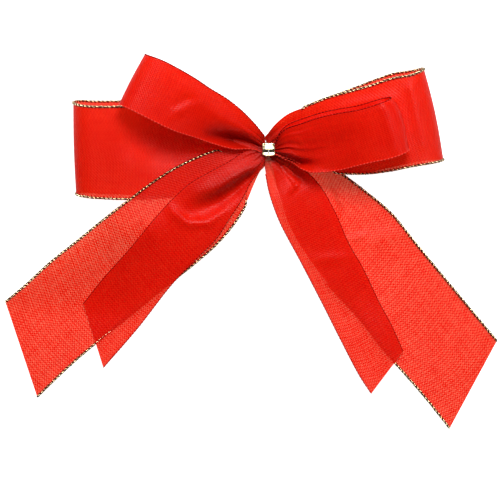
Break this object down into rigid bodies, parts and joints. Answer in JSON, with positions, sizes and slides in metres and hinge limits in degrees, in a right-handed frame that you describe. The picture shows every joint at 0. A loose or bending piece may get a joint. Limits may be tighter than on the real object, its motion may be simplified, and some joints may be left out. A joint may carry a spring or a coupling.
{
  "type": "gift bow",
  "caption": "Pre-made gift bow: a wide gold-edged ribbon and a narrower ribbon on top, each in two loops and two tails, gathered by a gold foil tie.",
  "frame": {"origin": "behind the knot, at the middle of the tie's flat back face, on the plane that the bow's back lies on", "axes": "+Z out of the bow's front, +Y up as the bow is worn, +X to the right seen from the front"},
  "size_m": [0.2114, 0.16, 0.0288],
  "materials": {
    "wide_ribbon": "satin",
    "narrow_ribbon": "satin",
    "gold_yarn": "polished",
    "tie_foil": "polished",
    "tie_wire": "satin"
  },
  "bodies": {
    "knot": {"wide_ribbon_gather": "wide_ribbon", "narrow_ribbon_gather": "narrow_ribbon", "tie_foil_band": "tie_foil", "tie_wire_core": "tie_wire", "tie_twisted_ends": "tie_foil"},
    "wide_loop_left": {"wide_loop_left": "wide_ribbon", "wide_loop_left_gold_edge_upper": "gold_yarn", "wide_loop_left_gold_edge_lower": "gold_yarn"},
    "wide_loop_right": {"wide_loop_right": "wide_ribbon", "wide_loop_right_gold_edge_upper": "gold_yarn", "wide_loop_right_gold_edge_lower": "gold_yarn"},
    "narrow_loop_left": {"narrow_loop_left": "narrow_ribbon"},
    "narrow_loop_right": {"narrow_loop_right": "narrow_ribbon"},
    "wide_tail_left": {"wide_tail_left": "wide_ribbon", "wide_tail_left_gold_edge_outer": "gold_yarn", "wide_tail_left_gold_edge_inner": "gold_yarn", "narrow_tail_left_upper": "narrow_ribbon"},
    "wide_tail_right": {"wide_tail_right": "wide_ribbon", "wide_tail_right_gold_edge_outer": "gold_yarn", "wide_tail_right_gold_edge_inner": "gold_yarn", "narrow_tail_right_upper": "narrow_ribbon"},
    "narrow_tail_left": {"narrow_tail_left": "narrow_ribbon"},
    "narrow_tail_right": {"narrow_tail_right": "narrow_ribbon"}
  },
  "joints": [
    {"name": "wide_loop_left_swing", "type": "hinge", "parent": "knot", "child": "wide_loop_left", "pos_m": [0, 0, 0.003], "axis": [0, 0, 1], "range_deg": [-10, 0]},
    {"name": "wide_loop_right_swing", "type": "hinge", "parent": "knot", "child": "wide_loop_right", "pos_m": [0, 0, 0.005], "axis": [0, 0, 1], "range_deg": [-8, 10]},
    {"name": "narrow_loop_left_lift", "type": "hinge", "parent": "knot", "child": "narrow_loop_left", "pos_m": [-0.00445, 0.00229, 0.0069], "axis": [0.4571, 0.8894, 0], "range_deg": [0, 35]},
    {"name": "narrow_loop_right_lift", "type": "hinge", "parent": "knot", "child": "narrow_loop_right", "pos_m": [0.00492, 0.00088, 0.0063], "axis": [0.1754, -0.9845, 0], "range_deg": [0, 35]},
    {"name": "wide_tail_left_swing", "type": "hinge", "parent": "knot", "child": "wide_tail_left", "pos_m": [0, 0, 0.004], "axis": [0, 0, 1], "range_deg": [0, 12]},
    {"name": "wide_tail_right_swing", "type": "hinge", "parent": "knot", "child": "wide_tail_right", "pos_m": [0, 0, 0.002], "axis": [0, 0, 1], "range_deg": [-8, 8]},
    {"name": "narrow_tail_left_lift", "type": "hinge", "parent": "wide_tail_left", "child": "narrow_tail_left", "pos_m": [-0.02601, -0.02453, 0.00804], "axis": [-0.5088, 0.8081, 0.2969], "range_deg": [0, 30]},
    {"name": "narrow_tail_right_lift", "type": "hinge", "parent": "wide_tail_right", "child": "narrow_tail_right", "pos_m": [0.01638, -0.0285, 0.0015], "axis": [-0.8156, -0.5786, 0], "range_deg": [0, 30]}
  ]
}
